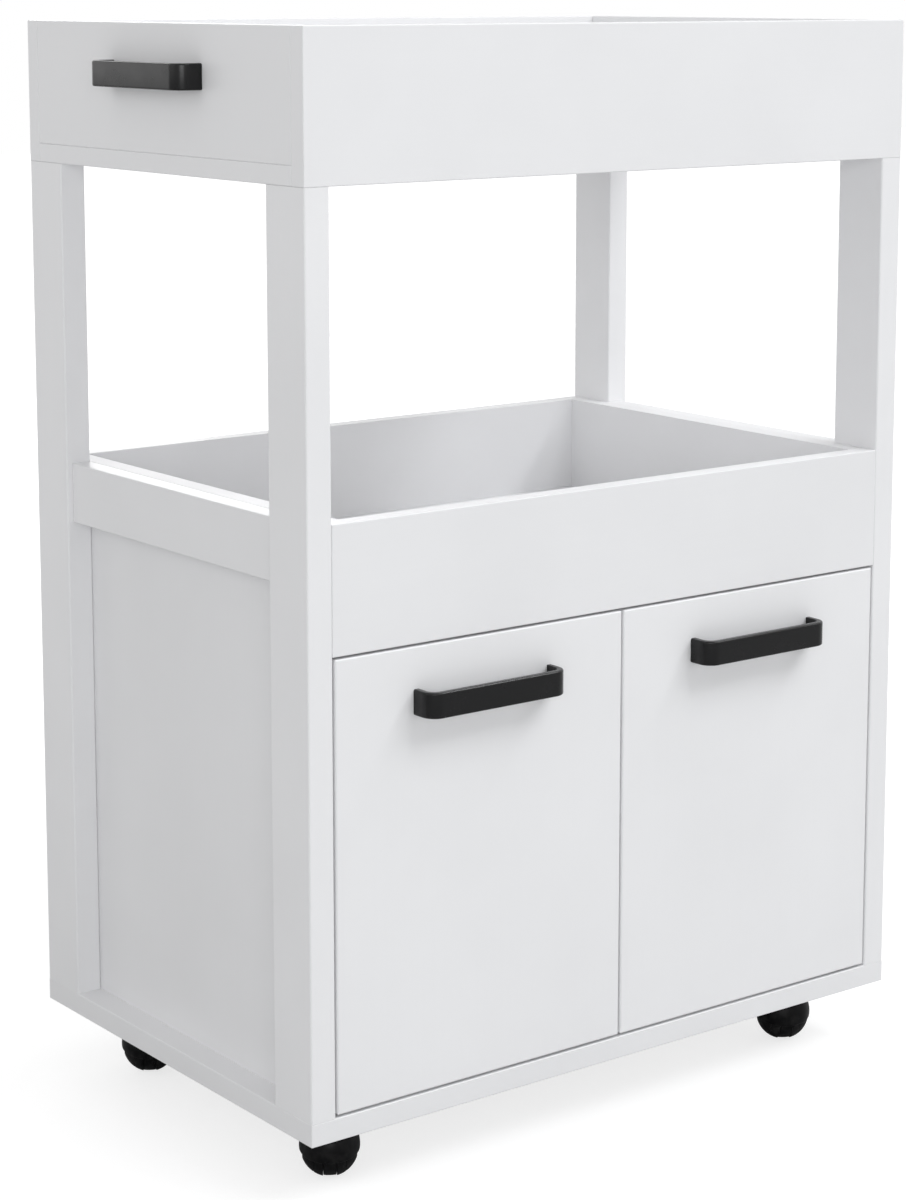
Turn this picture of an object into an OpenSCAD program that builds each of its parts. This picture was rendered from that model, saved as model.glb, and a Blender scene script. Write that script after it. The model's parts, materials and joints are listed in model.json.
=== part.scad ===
/* [Cart] */
// Width across the posts
cart_w = 600; // [560:10:760]
// Depth from the front of the posts to their back
cart_d = 400; // [380:10:520]
// Height from the floor to the rim of the upper tray
cart_h = 880; // [820:10:1000]

/* [Boards] */
// Thickness of the panels, tray floors and rims
board_t = 16; // [15:1:18]
// Thickness of the base board
base_t = 18; // [18:1:25]
// Thickness of the hardboard back
back_t = 3; // [2.5:0.5:4]
// Radius that eases the edges of the boards
ease_r = 0.8; // [0.4:0.2:1.2]

/* [Posts and side rails] */
// Width of a post, across the cart
post_w = 22; // [20:1:28]
// Depth of a post, front to back
post_d = 50; // [46:1:60]
// Radius of the edges of a post
post_r = 1.5; // [1:0.25:2]
// Height of a side rail
rail_h = 49; // [40:1:60]
// How far a side rail lies in from the outer face of the posts
rail_setback = 5; // [3:0.5:6]

/* [Trays and cabinet] */
// Height of the upper tray, from its underside to its rim
upper_tray_h = 114; // [100:1:130]
// How deep the side rims of the upper tray are let into its floor
rim_seat = 1; // [0.8:0.1:2]
// Height of the lower tray, from its underside to its rim
lower_tray_h = 99; // [90:1:120]
// Clear height of the cabinet
cabinet_h = 354; // [320:1:380]

/* [Doors] */
// Thickness of a door
door_t = 16; // [16:0.5:18]
// Gap round each door and between the two
door_gap = 2; // [2:0.25:3.5]
// Radius of the door edges
door_r = 1.5; // [1.25:0.25:2]
// How far behind the closed doors the side panels begin
panel_setback = 12; // [12:0.5:16]

/* [Pulls] */
// Length of a pull
pull_l = 133; // [128:1:160]
// Height of its flat bar
pull_h = 20; // [18:1:24]
// Thickness of its flat bar
pull_t = 5; // [4:0.5:6]
// How far a pull stands out
pull_out = 22; // [20:1:30]
// Outer radius of its two bends
pull_bend_r = 12; // [10:0.5:14]
// Radius along the outer edges of the bar
pull_r = 1.5; // [0.5:0.25:1.75]
// Distance between the two screws of a pull
pull_pitch = 120; // [116:0.5:121]
// Diameter of the screw bosses behind the legs
pull_boss_d = 9; // [8:0.5:10]
// From the top edge of a door down to its pull
pull_drop = 32.5; // [20:0.5:60]
// From the rim of the upper tray down to the push handle
push_drop = 29; // [20:1:50]

/* [Door hinges] */
// Diameter of a hinge cup
cup_d = 35; // [35:0.5:36]
// Depth of the cup in the door
cup_depth = 12.5; // [12.5:0.1:12.8]
// Wall of the cup
cup_wall = 0.8; // [0.6:0.1:0.9]
// Wood left between the cup and the edge of the door
cup_edge = 3.5; // [3:0.25:4.5]
// Thickness of the cup flange
flange_t = 1.2; // [1:0.1:1.3]
// Distance between the two screws of a cup
cup_pitch = 48; // [45:1:52]
// From the outer edge of the door to the hinge pin
pin_in = 16; // [16:0.25:17]
// From the front of the door back to the hinge pin
pin_deep = 7; // [6.8:0.1:7.1]
// Diameter of the hinge pin
pin_d = 2.6; // [2:0.1:2.8]
// Width of the hinge arm
arm_w = 12; // [10:0.5:12]
// Thickness of the hinge arm
arm_t = 2; // [1.5:0.1:2.2]
// From the pin across to the neck of the arm
neck_in = 15; // [14.8:0.1:16]
// From the pin back to the crank of the arm
crank_back = 21; // [21:0.5:23]
// Length of the arm behind the pin
arm_l = 72; // [70:1:80]
// Thickness of the mounting plate
plate_t = 2; // [1.5:0.1:2.5]
// From the front edge of the side panel back to the plate screws
plate_back = 37; // [35:1:40]
// Distance between the two screws of a plate
plate_pitch = 32; // [30:1:36]
// From the top and bottom edges of a door to its hinges
hinge_in = 75; // [65:1:100]

/* [Casters] */
// Diameter of the wheels
wheel_d = 44; // [40:1:50]
// Width of the body between the two wheels
web_w = 10; // [10:0.5:13]
// How far that body stays above the floor
web_clear = 0.8; // [0.6:0.2:3]
// Thickness of the hood at its top
hood_t = 1.2; // [1:0.1:1.5]
// Thickness of the hood at its rim
hood_rim_t = 0.4; // [0.3:0.1:0.8]
// How far the ball that shapes the hood is lifted above the wheels
hood_lift = 2.5; // [2:0.25:3]
// Slope of the lower edge of the hood
hood_slope = 12; // [0:1:24]
// Diameter of the swivel stem
stem_d = 7; // [6:0.25:7.5]
// Length of the stem below its plate
stem_l = 24; // [20:0.5:26]
// Diameter of the boss that turns under the plate
boss_d = 16; // [14:0.5:20]
// How far that boss rises above the hood
boss_rise = 1.3; // [0.5:0.1:6]
// From the swivel axis to the wheel axle
trail = 18.3; // [16:0.1:19.5]
// Diameter of the axle
axle_d = 5; // [4:0.25:6]
// Length of the axle
axle_l = 36; // [30:0.5:38]
// How far the casters are turned
caster_turn = -33.2; // [-60:0.1:60]
// Side of the square mounting plate
caster_plate_w = 38; // [38:1:44]
// Thickness of the mounting plate
caster_plate_t = 2; // [2:0.1:2.5]
// Distance between the screws of a plate
caster_pitch = 28; // [26:1:28]
// From the sides of the cart to the swivel axes
caster_in_x = 60.5; // [55:0.5:80]
// From the front and back of the cart to the swivel axes
caster_in_y = 65.9; // [60:0.1:80]

/* [Fasteners] */
// Diameter of the dowels
dowel_d = 8; // [6:0.5:8]
// Length of the dowels
dowel_l = 30; // [25:1:35]
// How far a dowel enters the thinner of its two boards
dowel_in = 12; // [10:0.5:12]
// Diameter of the post screws
post_screw_d = 5; // [4:0.5:6]
// Length of the post screws
post_screw_l = 40; // [35:1:42]
// Diameter of the wood screws
wood_screw_d = 4; // [3.5:0.1:4]
// Length of the screws that hold a side panel to the posts
panel_screw_l = 30; // [25:1:32]
// Length of the screws under the casters
caster_screw_l = 16; // [12:1:18]
// Length of the screws that hold the hinges
hinge_screw_l = 13; // [10:0.5:14]
// Diameter of the pull screws
pull_screw_d = 4; // [3:0.5:5]
// How far a pull screw enters its boss
pull_screw_in = 10; // [8:0.5:14]
// Diameter of the nails in the back
nail_d = 1.6; // [1.4:0.1:2]
// Length of the nails in the back
nail_l = 20; // [16:1:25]

/* [Fits] */
// Radial play of a running pin, stem or axle
running_fit = 0.05; // [0.03:0.01:0.08]
// Gap between a wheel and the body beside it
side_gap = 0.4; // [0.3:0.1:0.6]
// Gap between the wheels and the hood
hood_gap = 0.5; // [0.4:0.1:1]
// Gap between the boss of a caster and its plate
swivel_gap = 0.3; // [0.3:0.1:0.8]
// Gap between a hinge arm and the cup round it
hinge_gap = 0.3; // [0.3:0.05:0.4]

/* [Hidden] */
$fn = 48;

// Colours
white_paint = [0.90, 0.90, 0.91];
white_board = [0.84, 0.84, 0.85];
black_metal = [0.12, 0.12, 0.13];
black_nylon = [0.10, 0.10, 0.10];
bright_steel = [0.70, 0.71, 0.73];
beech = [0.80, 0.66, 0.46];

// Sides of the cart and its corners, front left first
left = -1;
right = 1;
front = -1;
rear = 1;

// Cuts run past the faces that they open by this much
over = 1;

// The wheels are the two halves of a ball, parted where the body passes between them
wheel_r = wheel_d / 2;
wheel_x = web_w / 2 + side_gap;
ball_r = sqrt(wheel_r * wheel_r + wheel_x * wheel_x);
web_r = wheel_r - web_clear;
hood_in_r = ball_r + hood_gap;
hood_out_r = sqrt((hood_in_r + hood_rim_t) * (hood_in_r + hood_rim_t) + hood_lift * hood_lift);
hood_top = hood_in_r + hood_t;
hood_span = 2 * hood_out_r;
boss_top = wheel_r + hood_top + boss_rise;
plate_corner_r = 4;
caster_h = boss_top + swivel_gap + caster_plate_t;
plate_z = caster_h - caster_plate_t;
socket_z = plate_z - stem_l - swivel_gap;
socket_floor = 3;
tread_w = 7;
groove = 0.6;
groove_r = sqrt(ball_r * ball_r - (wheel_x + tread_w) * (wheel_x + tread_w)) - groove;

// Levels above the floor
deck_z = caster_h + base_t;
tray_z = deck_z + cabinet_h;
tray_top = tray_z + lower_tray_h;
top_z = cart_h - upper_tray_h;
tray_deck = tray_z + board_t;
top_deck = top_z + board_t;
rim_z = top_deck - rim_seat;

// Distances from the middle of the cart
side_x = cart_w / 2;
post_x = side_x - post_w;
panel_x = post_x - board_t;
rail_x = side_x - rail_setback;
end_y = cart_d / 2;
post_y = end_y - post_d;
rim_y = end_y - board_t;
panel_y = end_y - door_t - panel_setback;
swivel_x = side_x - caster_in_x;
swivel_y = end_y - caster_in_y;

// Doors and pulls
door_x = -post_x + door_gap;
door_w = post_x - door_gap * 1.5;
door_z = deck_z + door_gap;
door_h = cabinet_h - 2 * door_gap;
pull_z = door_z + door_h - pull_drop - pull_h / 2;
push_z = cart_h - push_drop - pull_h / 2;
leg_x = pull_l / 2 - pull_bend_r;

// A hinge has its own frame: the pin at the origin, X across the door, Y to the back
pin_x = door_x + pin_in;
pin_y = -end_y + pin_deep;
hinge_levels = [door_z + hinge_in, door_z + door_h - hinge_in];
cup_x = cup_edge + cup_d / 2 - pin_in;
door_back = door_t - pin_deep;
cup_floor = door_back - cup_depth + cup_wall;
eye_r = -cup_floor - hinge_gap;
lug_z = arm_w / 2 + hinge_gap;
lug_w = 5;
flange_r = cup_d / 2 + 1.5;
cup_screw_x = cup_x + 6;
panel_face = -panel_x - pin_x;
panel_edge = -panel_y - pin_y;
plate_y = panel_edge + plate_back;
plate_setback = 3;
arm_screw_in = 6;
arm_screw_d = 4;
arm_x = panel_face + plate_t;
arm_screw_y = arm_l - arm_screw_in;

// Screws and their heads
panel_screw_in = 30;
head_d = 8;
pan_h = 2.2;
sink_h = 2;
nail_head_d = 3.6;
nail_head_h = 0.8;

// Turns that point +Z another way
up = [0, 0, 0];
down = [180, 0, 0];
function inward_x(side) = [0, -side * 90, 0];
function inward_y(side) = [side * 90, 0, 0];

// Evenly spaced points on a line, ends left out by half a step
function spread(low, high, count) = [for (i = [0 : count - 1]) low + (high - low) * (i + 0.5) / count];

// Dowel joints: the middle of each on the face where the two boards meet, and its turn
post_dowels = [
    for (side = [left, right], end = [front, rear], y = spread(post_y, rim_y, 2))
        [[side * (side_x - post_w / 2), end * y, top_z], down]
];
rail_dowels = [
    for (side = [left, right], end = [front, rear], z = spread(tray_top - rail_h, tray_top, 2))
        [[side * (post_x + rail_x) / 2, end * post_y, z], inward_y(end)]
];
lower_end_dowels = [
    for (side = [left, right], end = [front, rear], z = spread(tray_z, tray_top, 2))
        [[side * post_x, end * (rim_y + board_t / 2), z], inward_x(side)]
];
lower_rim_dowels = [
    for (end = [front, rear], x = spread(-panel_x, panel_x, 4))
        [[x, end * rim_y, tray_z + board_t / 2], inward_y(end)]
];
lower_side_dowels = [
    for (side = [left, right], y = spread(-rim_y, rim_y, 3))
        [[side * panel_x, y, tray_z + board_t / 2], inward_x(side)]
];
panel_dowels = [
    for (side = [left, right], y = spread(-panel_y, rim_y, 3))
        [[side * (panel_x + board_t / 2), y, deck_z], up]
];
upper_rim_dowels = [
    for (end = [front, rear], x = spread(-panel_x, panel_x, 4))
        [[x, end * rim_y, top_z + board_t / 2], inward_y(end)]
];
upper_corner_dowels = [
    for (side = [left, right], end = [front, rear], z = spread(top_deck, cart_h, 2))
        [[side * (side_x - board_t / 2), end * rim_y, z], inward_y(end)]
];
upper_side_dowels = [
    for (side = [left, right], y = spread(-post_y, post_y, 3))
        [[side * (side_x - board_t / 2), y, rim_z], up]
];

// Screws: the place of each head and the turn that points it in
post_screw_places = [
    for (side = [left, right], end = [front, rear], y = spread(post_y, end_y, 2))
        [[side * (side_x - post_w / 2), end * y, caster_h], up]
];
panel_screw_levels = [deck_z + panel_screw_in, deck_z + cabinet_h / 2, tray_z - panel_screw_in];
panel_screw_places = [
    for (side = [left, right], y = [-(panel_y + post_y) / 2, (post_y + rim_y) / 2], z = panel_screw_levels)
        [[side * panel_x, y, z], inward_x(-side)]
];
nail_places = [
    for (side = [left, right], z = spread(deck_z, tray_z, 4))
        [[side * (panel_x + board_t / 2), rim_y + back_t, z], inward_y(rear)]
];
caster_screw_places = [
    for (side = [left, right], end = [front, rear], x = [-1, 1], y = [-1, 1])
        [[side * swivel_x + x * caster_pitch / 2, end * swivel_y + y * caster_pitch / 2, plate_z], up]
];

// ---- Shared shapes ----

// Puts the cart so that its middle, pulls included, stands over the origin
module centred() {
    translate([pull_out / 2, pull_out / 2, 0]) children();
}

// What is drawn for the left side, or its mirror image on the right
module on_side(side) {
    mirror([side == right ? 1 : 0, 0, 0]) children();
}

module eased_square(size, r) {
    translate([r, 0]) square([size.x - 2 * r, size.y]);
    translate([0, r]) square([size.x, size.y - 2 * r]);
    for (x = [r, size.x - r], y = [r, size.y - r])
        translate([x, y]) circle(r);
}

// A board between two opposite corners, all of its edges eased
module board(low, high, r = ease_r) {
    size = high - low;
    translate(low) intersection() {
        linear_extrude(size.z) eased_square([size.x, size.y], r);
        translate([0, size.y, 0]) rotate([90, 0, 0])
            linear_extrude(size.y) eased_square([size.x, size.z], r);
        rotate([90, 0, 90]) linear_extrude(size.x) eased_square([size.y, size.z], r);
    }
}

module dowels_at(places) {
    for (p = places)
        translate(p[0]) rotate(p[1]) translate([0, 0, -dowel_in]) cylinder(d = dowel_d, h = dowel_l);
}

// A screw whose head is sunk flush, pointing up from the face it enters
module sunk_screw(d, length) {
    cylinder(d = d, h = length);
    cylinder(d1 = head_d, d2 = d, h = sink_h);
}

// A screw whose head stands on the face
module pan_screw(d, length) {
    cylinder(d = d, h = length);
    translate([0, 0, -pan_h]) cylinder(d = head_d, h = pan_h);
}

module sunk_screws_at(places, d, length) {
    for (p = places)
        translate(p[0]) rotate(p[1]) sunk_screw(d, length);
}

module shanks_at(places, d, length) {
    for (p = places)
        translate(p[0]) rotate(p[1]) cylinder(d = d, h = length);
}

// ---- Base and frame ----

module base_board() {
    color(white_paint) centred() difference() {
        board([-side_x, -end_y, caster_h], [side_x, end_y, deck_z]);
        sunk_screws_at(post_screw_places, post_screw_d, post_screw_l);
        dowels_at(panel_dowels);
        shanks_at(caster_screw_places, wood_screw_d, caster_screw_l);
    }
}

// Only the long edges of a post are eased, so that its ends sit close on the boards
module post(side, end) {
    corner = [side * (post_x + post_w / 2) - post_w / 2, end * (post_y + post_d / 2) - post_d / 2, deck_z];
    color(white_paint) centred() difference() {
        translate(corner) linear_extrude(top_z - deck_z) eased_square([post_w, post_d], post_r);
        sunk_screws_at(post_screw_places, post_screw_d, post_screw_l);
        shanks_at(panel_screw_places, wood_screw_d, panel_screw_l);
        dowels_at(post_dowels);
        dowels_at(rail_dowels);
        dowels_at(lower_end_dowels);
    }
}

module front_left_post() post(left, front);

module front_right_post() post(right, front);

module rear_left_post() post(left, rear);

module rear_right_post() post(right, rear);

module side_rail(side) {
    middle = side * (post_x + rail_x) / 2;
    half = (rail_x - post_x) / 2;
    color(white_paint) centred() difference() {
        board([middle - half, -post_y, tray_top - rail_h], [middle + half, post_y, tray_top]);
        dowels_at(rail_dowels);
    }
}

module left_side_rail() side_rail(left);

module right_side_rail() side_rail(right);

// ---- Cabinet ----

// The panel reaches the front of the lower tray, and keeps clear of the doors below it
module side_panel(side) {
    color(white_board) centred() difference() {
        on_side(side) translate([-post_x, 0, 0]) rotate([90, 0, 90]) linear_extrude(board_t) polygon([
            [-panel_y, deck_z],
            [rim_y, deck_z],
            [rim_y, tray_top],
            [-rim_y, tray_top],
            [-rim_y, tray_z],
            [-panel_y, tray_z]
        ]);
        dowels_at(panel_dowels);
        dowels_at(lower_side_dowels);
        sunk_screws_at(panel_screw_places, wood_screw_d, panel_screw_l);
        shanks_at(nail_places, nail_d, nail_l);
        on_side(side) at_hinges() plate_screws_in_place();
    }
}

module left_side_panel() side_panel(left);

module right_side_panel() side_panel(right);

module cabinet_back() {
    color(white_board) centred() difference() {
        translate([-post_x, rim_y, deck_z]) cube([2 * post_x, back_t, cabinet_h]);
        shanks_at(nail_places, nail_d, nail_l);
    }
}

// ---- Lower tray ----

module lower_tray_rim(end) {
    middle = end * (rim_y + board_t / 2);
    color(white_paint) centred() difference() {
        board([-post_x, middle - board_t / 2, tray_z], [post_x, middle + board_t / 2, tray_top]);
        dowels_at(lower_end_dowels);
        dowels_at(lower_rim_dowels);
    }
}

module lower_tray_front() lower_tray_rim(front);

module lower_tray_back() lower_tray_rim(rear);

module lower_tray_floor() {
    color(white_paint) centred() difference() {
        translate([-panel_x, -rim_y, tray_z]) cube([2 * panel_x, 2 * rim_y, board_t]);
        dowels_at(lower_rim_dowels);
        dowels_at(lower_side_dowels);
    }
}

// ---- Upper tray ----

// The floor is rebated along its sides, where the side rims stand
module upper_tray_floor() {
    inner_x = side_x - board_t;
    color(white_paint) centred() difference() {
        union() {
            board([-side_x, -rim_y, top_z], [side_x, rim_y, rim_z]);
            translate([-inner_x, -rim_y, rim_z - over]) cube([2 * inner_x, 2 * rim_y, rim_seat + over]);
        }
        dowels_at(post_dowels);
        dowels_at(upper_rim_dowels);
        dowels_at(upper_side_dowels);
    }
}

module upper_tray_rim(end) {
    middle = end * (rim_y + board_t / 2);
    color(white_paint) centred() difference() {
        board([-side_x, middle - board_t / 2, top_z], [side_x, middle + board_t / 2, cart_h]);
        dowels_at(upper_rim_dowels);
        dowels_at(upper_corner_dowels);
    }
}

module upper_tray_front() upper_tray_rim(front);

module upper_tray_back() upper_tray_rim(rear);

module upper_tray_side(side) {
    middle = side * (side_x - board_t / 2);
    color(white_paint) centred() difference() {
        board([middle - board_t / 2, -rim_y, rim_z], [middle + board_t / 2, rim_y, cart_h]);
        dowels_at(upper_corner_dowels);
        dowels_at(upper_side_dowels);
        at_push_handle() pull_screws_in_place(board_t);
    }
}

module upper_tray_left() upper_tray_side(left);

module upper_tray_right() upper_tray_side(right);

// ---- Pulls: X along the bar, the board's face at Y = 0, the bar in front of it ----

// Section of the bar: thickness along X, height along Y, outer edges round
module bar_section() {
    translate([-pull_t, -pull_h / 2]) {
        translate([pull_r, 0]) square([pull_t - pull_r, pull_h]);
        translate([0, pull_r]) square([pull_t, pull_h - 2 * pull_r]);
        for (y = [pull_r, pull_h - pull_r])
            translate([pull_r, y]) circle(pull_r);
    }
}

module pull() {
    bend_y = -pull_out + pull_bend_r;
    boss_l = pull_out - pull_bend_r / 2;
    difference() {
        union() {
            translate([-leg_x, -pull_out + pull_t, 0]) rotate([90, 0, 90])
                linear_extrude(2 * leg_x) bar_section();
            for (side = [left, right]) on_side(side) {
                translate([-leg_x, bend_y, 0]) rotate([0, 0, 180]) rotate_extrude(angle = 90)
                    translate([pull_bend_r, 0]) mirror([1, 0]) translate([pull_t, 0]) bar_section();
                translate([-pull_l / 2 + pull_t, 0, 0]) rotate([90, 0, 0])
                    linear_extrude(-bend_y) bar_section();
                translate([-pull_pitch / 2, 0, 0]) rotate([90, 0, 0])
                    cylinder(d = pull_boss_d, h = boss_l);
            }
        }
        for (side = [left, right])
            translate([side * pull_pitch / 2, over, 0]) rotate([90, 0, 0])
                cylinder(d = pull_screw_d, h = pull_screw_in + over);
    }
}

module pull_screws_in_place(thickness) {
    for (side = [left, right])
        translate([side * pull_pitch / 2, thickness, 0]) rotate([90, 0, 0])
            pan_screw(pull_screw_d, thickness + pull_screw_in);
}

module at_door_pull(side) {
    on_side(side) translate([door_x + door_w / 2, -end_y, pull_z]) children();
}

module at_push_handle() {
    translate([-side_x, 0, push_z]) rotate([0, 0, -90]) children();
}

module push_handle() {
    color(black_metal) centred() at_push_handle() pull();
}

module push_handle_screws() {
    color(bright_steel) centred() at_push_handle() pull_screws_in_place(board_t);
}

// ---- Doors and their hinges ----

module at_hinges() {
    for (z = hinge_levels)
        translate([pin_x, pin_y, z]) children();
}

// The cup is let into the door, and its lugs carry the pin
module hinge_cup() {
    difference() {
        union() {
            translate([cup_x, door_back, 0]) rotate([90, 0, 0]) cylinder(d = cup_d, h = cup_depth);
            translate([cup_x, door_back + flange_t, 0]) rotate([90, 0, 0])
                cylinder(r = flange_r, h = flange_t);
            translate([cup_screw_x, door_back + flange_t, 0]) rotate([90, 0, 0])
                linear_extrude(flange_t) flange_wings();
        }
        translate([cup_x, cup_floor, 0]) rotate([-90, 0, 0])
            cylinder(d = cup_d - 2 * cup_wall, h = cup_depth + flange_t + over);
        cup_screws_in_place();
    }
    for (side = [-1, 1])
        mirror([0, 0, side == 1 ? 1 : 0]) translate([0, 0, -lug_z - lug_w]) {
            cylinder(r = eye_r, h = lug_w);
            translate([-eye_r, cup_floor, 0]) cube([2 * eye_r, -cup_floor, lug_w]);
        }
    translate([0, 0, -lug_z - lug_w]) cylinder(d = pin_d, h = 2 * (lug_z + lug_w));
}

module flange_wings() {
    for (z = [-1, 1]) translate([0, z * cup_pitch / 2]) circle(head_d * 0.75);
    translate([-head_d * 0.75, -cup_pitch / 2]) square([head_d * 1.5, cup_pitch]);
}

module cup_screws_in_place() {
    for (z = [-1, 1])
        translate([cup_screw_x, door_back + flange_t, z * cup_pitch / 2]) rotate([90, 0, 0])
            pan_screw(wood_screw_d, hinge_screw_l);
}

// A bent strip: eye, strap, neck out of the cup, crank, and a long strap on the plate
module arm_outline() {
    circle(eye_r);
    translate([0, -arm_t / 2]) square([neck_in, arm_t]);
    translate([neck_in - arm_t / 2, 0]) square([arm_t, crank_back]);
    translate([arm_x + arm_t / 2, crank_back - arm_t / 2]) square([neck_in - arm_x - arm_t / 2, arm_t]);
    translate([arm_x, crank_back]) square([arm_t, arm_l - crank_back]);
    for (p = [[neck_in, 0], [neck_in, crank_back], [arm_x + arm_t / 2, crank_back]])
        translate(p) circle(d = arm_t);
}

module hinge_arm() {
    difference() {
        translate([0, 0, -arm_w / 2]) linear_extrude(arm_w) arm_outline();
        translate([0, 0, -arm_w / 2 - over])
            cylinder(r = pin_d / 2 + running_fit, h = arm_w + 2 * over);
        arm_screw_in_place();
    }
}

module arm_screw_in_place() {
    translate([arm_x + arm_t, arm_screw_y, 0]) rotate([0, -90, 0])
        pan_screw(arm_screw_d, arm_t + plate_t);
}

// Two wings for the wood screws, and a bar that the arm is screwed to
module hinge_plate() {
    wing_r = head_d * 0.9;
    bar_y = panel_edge + plate_setback;
    difference() {
        translate([panel_face, 0, 0]) rotate([90, 0, 90]) linear_extrude(plate_t) {
            translate([bar_y, -arm_w / 2]) square([arm_l - bar_y, arm_w]);
            translate([plate_y - wing_r, -plate_pitch / 2]) square([2 * wing_r, plate_pitch]);
            for (z = [-1, 1]) translate([plate_y, z * plate_pitch / 2]) circle(wing_r);
        }
        plate_screws_in_place();
        arm_screw_in_place();
    }
}

module plate_screws_in_place() {
    for (z = [-1, 1])
        translate([panel_face + plate_t, plate_y, z * plate_pitch / 2]) rotate([0, -90, 0])
            pan_screw(wood_screw_d, hinge_screw_l);
}

module hinge_plates() {
    color(bright_steel) centred() for (side = [left, right]) on_side(side) at_hinges() hinge_plate();
}

module hinge_plate_screws() {
    color(bright_steel) centred() for (side = [left, right])
        on_side(side) at_hinges() plate_screws_in_place();
}

module hinge_arms() {
    color(bright_steel) centred() for (side = [left, right]) on_side(side) at_hinges() hinge_arm();
}

module hinge_arm_screws() {
    color(bright_steel) centred() for (side = [left, right])
        on_side(side) at_hinges() arm_screw_in_place();
}

module door(side) {
    color(white_paint) centred() difference() {
        on_side(side) difference() {
            board([door_x, -end_y, door_z], [door_x + door_w, -end_y + door_t, door_z + door_h], door_r);
            at_hinges() translate([cup_x, door_back + over, 0]) rotate([90, 0, 0])
                cylinder(d = cup_d, h = cup_depth + over);
            at_hinges() cup_screws_in_place();
        }
        at_door_pull(side) pull_screws_in_place(door_t);
    }
}

module door_pull(side) {
    color(black_metal) centred() at_door_pull(side) pull();
}

module door_pull_screws(side) {
    color(bright_steel) centred() at_door_pull(side) pull_screws_in_place(door_t);
}

module hinge_cups(side) {
    color(bright_steel) centred() on_side(side) at_hinges() hinge_cup();
}

module cup_screws(side) {
    color(bright_steel) centred() on_side(side) at_hinges() cup_screws_in_place();
}

module left_door() door(left);

module left_door_pull() door_pull(left);

module left_pull_screws() door_pull_screws(left);

module left_hinge_cups() hinge_cups(left);

module left_cup_screws() cup_screws(left);

module right_door() door(right);

module right_door_pull() door_pull(right);

module right_pull_screws() door_pull_screws(right);

module right_hinge_cups() hinge_cups(right);

module right_cup_screws() cup_screws(right);

// ---- Casters: the swivel axis is Z, and the axle runs along X behind it ----

module at_caster(side, end) {
    translate([side * swivel_x, end * swivel_y, 0]) rotate([0, 0, caster_turn]) children();
}

module at_axle() {
    translate([0, -trail, wheel_r]) children();
}

module caster_plate() {
    difference() {
        translate([-caster_plate_w / 2, -caster_plate_w / 2, plate_z])
            linear_extrude(caster_plate_t) eased_square([caster_plate_w, caster_plate_w], plate_corner_r);
        for (x = [-1, 1], y = [-1, 1])
            translate([x * caster_pitch / 2, y * caster_pitch / 2, plate_z])
                sunk_screw(wood_screw_d, caster_screw_l);
    }
    translate([0, 0, plate_z - stem_l]) cylinder(d = stem_d, h = stem_l + caster_plate_t / 2);
}

module caster_plates() {
    color(bright_steel) centred() for (side = [left, right], end = [front, rear])
        translate([side * swivel_x, end * swivel_y, 0]) caster_plate();
}

module caster_screws() {
    color(bright_steel) centred() sunk_screws_at(caster_screw_places, wood_screw_d, caster_screw_l);
}

// A hood over both wheels, a boss under the plate, and a web that holds stem and axle
module hood() {
    difference() {
        union() {
            difference() {
                union() {
                    hood_outside();
                    translate([0, 0, wheel_r]) cylinder(d = boss_d, h = boss_top - wheel_r);
                }
                wheel_rooms();
                at_axle() rotate([hood_slope, 0, 0]) translate([-hood_span, -hood_span, -2 * hood_span])
                    cube([2 * hood_span, 2 * hood_span, 2 * hood_span]);
            }
            at_axle() rotate([0, 90, 0]) cylinder(r = web_r, h = web_w, center = true);
            translate([0, 0, socket_z - socket_floor])
                cylinder(d = web_w, h = boss_top - hood_t - socket_z + socket_floor);
        }
        translate([0, 0, socket_z]) cylinder(r = stem_d / 2 + running_fit, h = stem_l + over);
        at_axle() rotate([0, 90, 0]) cylinder(d = axle_d, h = web_w + 2 * over, center = true);
    }
}

// A ball lifted above the wheels' own, so that the hood thins toward its rim, with a flat top
module hood_outside() {
    at_axle() intersection() {
        rotate([hood_slope, 0, 0]) translate([0, 0, hood_lift]) sphere(hood_out_r);
        translate([-hood_span, -hood_span, hood_top - 2 * hood_span])
            cube([2 * hood_span, 2 * hood_span, 2 * hood_span]);
    }
}

// The hollow for the two wheels, parted by the web
module wheel_rooms() {
    at_axle() difference() {
        sphere(hood_in_r);
        cube([web_w, 2 * hood_span, 2 * hood_span], center = true);
    }
}

module caster_hood(side, end) {
    color(black_nylon) centred() at_caster(side, end) hood();
}

module caster_axle(side, end) {
    color(bright_steel) centred() at_caster(side, end) at_axle()
        rotate([0, 90, 0]) cylinder(d = axle_d, h = axle_l, center = true);
}

// Half of the ball, with a fine groove beside the tread and a blind bore for the axle
module wheel() {
    rotate([0, 90, 0]) rotate_extrude() difference() {
        intersection() {
            circle(ball_r);
            translate([0, wheel_x]) square([ball_r, ball_r]);
        }
        translate([0, wheel_x - over])
            square([axle_d / 2 + running_fit, axle_l / 2 + side_gap - wheel_x + over]);
        translate([groove_r, wheel_x + tread_w]) square([wheel_r, groove]);
    }
}

module caster_wheel(side, end, half) {
    color(black_nylon) centred() at_caster(side, end) at_axle()
        mirror([half == left ? 1 : 0, 0, 0]) wheel();
}

module front_left_hood() caster_hood(left, front);

module front_left_axle() caster_axle(left, front);

module front_left_wheel_a() caster_wheel(left, front, left);

module front_left_wheel_b() caster_wheel(left, front, right);

module front_right_hood() caster_hood(right, front);

module front_right_axle() caster_axle(right, front);

module front_right_wheel_a() caster_wheel(right, front, left);

module front_right_wheel_b() caster_wheel(right, front, right);

module rear_left_hood() caster_hood(left, rear);

module rear_left_axle() caster_axle(left, rear);

module rear_left_wheel_a() caster_wheel(left, rear, left);

module rear_left_wheel_b() caster_wheel(left, rear, right);

module rear_right_hood() caster_hood(right, rear);

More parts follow.
